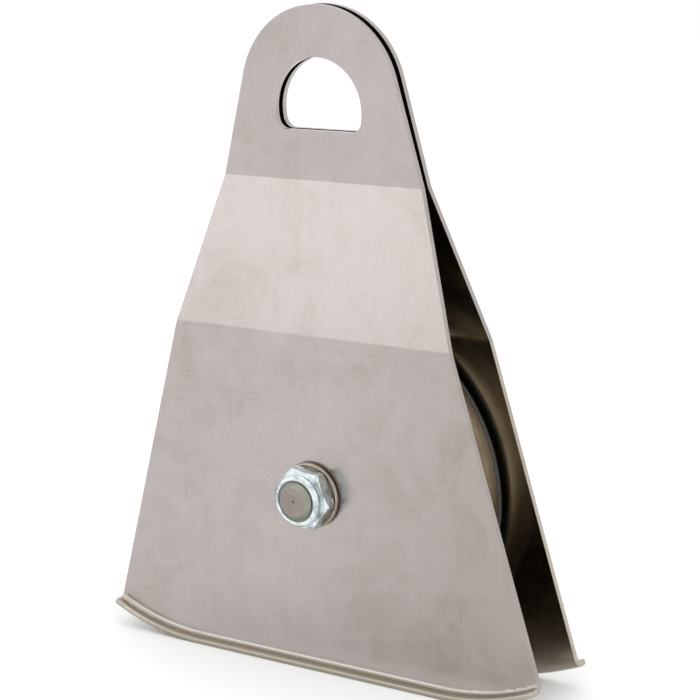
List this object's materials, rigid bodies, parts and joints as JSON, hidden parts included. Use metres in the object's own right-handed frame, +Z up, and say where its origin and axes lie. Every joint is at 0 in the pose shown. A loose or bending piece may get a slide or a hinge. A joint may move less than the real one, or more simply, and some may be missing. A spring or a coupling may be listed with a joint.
{
  "type": "rescue pulley",
  "caption": "Rope rescue pulley with a wide grooved sheave between two swinging stainless side plates, a D-shaped eye and turned-out lips.",
  "frame": {"origin": "On the surface the block stands on, midway between the two side plates, under the axle.", "axes": "+X across the width of the side plates, +Y along the axle from the lock nut to the bolt head, +Z up from the lips to the eye."},
  "size_m": [0.1714, 0.0469, 0.2198],
  "materials": {
    "plate": "satin stainless sheet, fine grain",
    "zinc": "bright blue-white zinc plate",
    "nylon": "matt polyamide",
    "axle": "plain stainless bar",
    "washer": "stamped stainless washer",
    "bronze": "oil-filled bronze",
    "aluminium": "turned aluminium",
    "bearing_steel": "ground bearing steel",
    "cage": "pressed brass",
    "seal": "black nitrile rubber",
    "spring_steel": "black phosphated spring steel"
  },
  "bodies": {
    "axle": {"axle_bolt": "axle", "lock_nut": "zinc", "lock_nut_insert": "nylon", "front_washer": "washer", "back_washer": "washer", "front_plate_bush": "bronze", "back_plate_bush": "bronze", "front_thrust_spacer": "bronze", "back_thrust_spacer": "bronze", "bearing_spacer": "axle", "front_bearing_inner_ring": "bearing_steel", "back_bearing_inner_ring": "bearing_steel"},
    "front_side_plate": {"front_plate": "plate"},
    "back_side_plate": {"back_plate": "plate"},
    "sheave": {"sheave": "aluminium", "front_bearing_outer_ring": "bearing_steel", "back_bearing_outer_ring": "bearing_steel", "front_bearing_seals": "seal", "back_bearing_seals": "seal", "front_retaining_ring": "spring_steel", "back_retaining_ring": "spring_steel"},
    "front_ball_set": {"front_bearing_balls": "bearing_steel", "front_bearing_cage": "cage"},
    "back_ball_set": {"back_bearing_balls": "bearing_steel", "back_bearing_cage": "cage"}
  },
  "joints": [
    {"name": "front_plate_swing", "type": "hinge", "parent": "axle", "child": "front_side_plate", "pos_m": [0, -0.012, 0.0605], "axis": [0, 1, 0], "continuous": true},
    {"name": "back_plate_swing", "type": "hinge", "parent": "axle", "child": "back_side_plate", "pos_m": [0, 0.012, 0.0605], "axis": [0, 1, 0], "continuous": true},
    {"name": "sheave_spin", "type": "hinge", "parent": "axle", "child": "sheave", "pos_m": [0, 0, 0.0605], "axis": [0, 1, 0], "continuous": true},
    {"name": "front_ball_orbit", "type": "hinge", "parent": "axle", "child": "front_ball_set", "pos_m": [0, -0.00477, 0.0605], "axis": [0, 1, 0], "continuous": true},
    {"name": "back_ball_orbit", "type": "hinge", "parent": "axle", "child": "back_ball_set", "pos_m": [0, 0.00477, 0.0605], "axis": [0, 1, 0], "continuous": true}
  ],
  "couplings": [
    {"joint": "front_ball_orbit", "follows": "sheave_spin", "ratio": 0.6106},
    {"joint": "back_ball_orbit", "follows": "sheave_spin", "ratio": 0.6106}
  ]
}
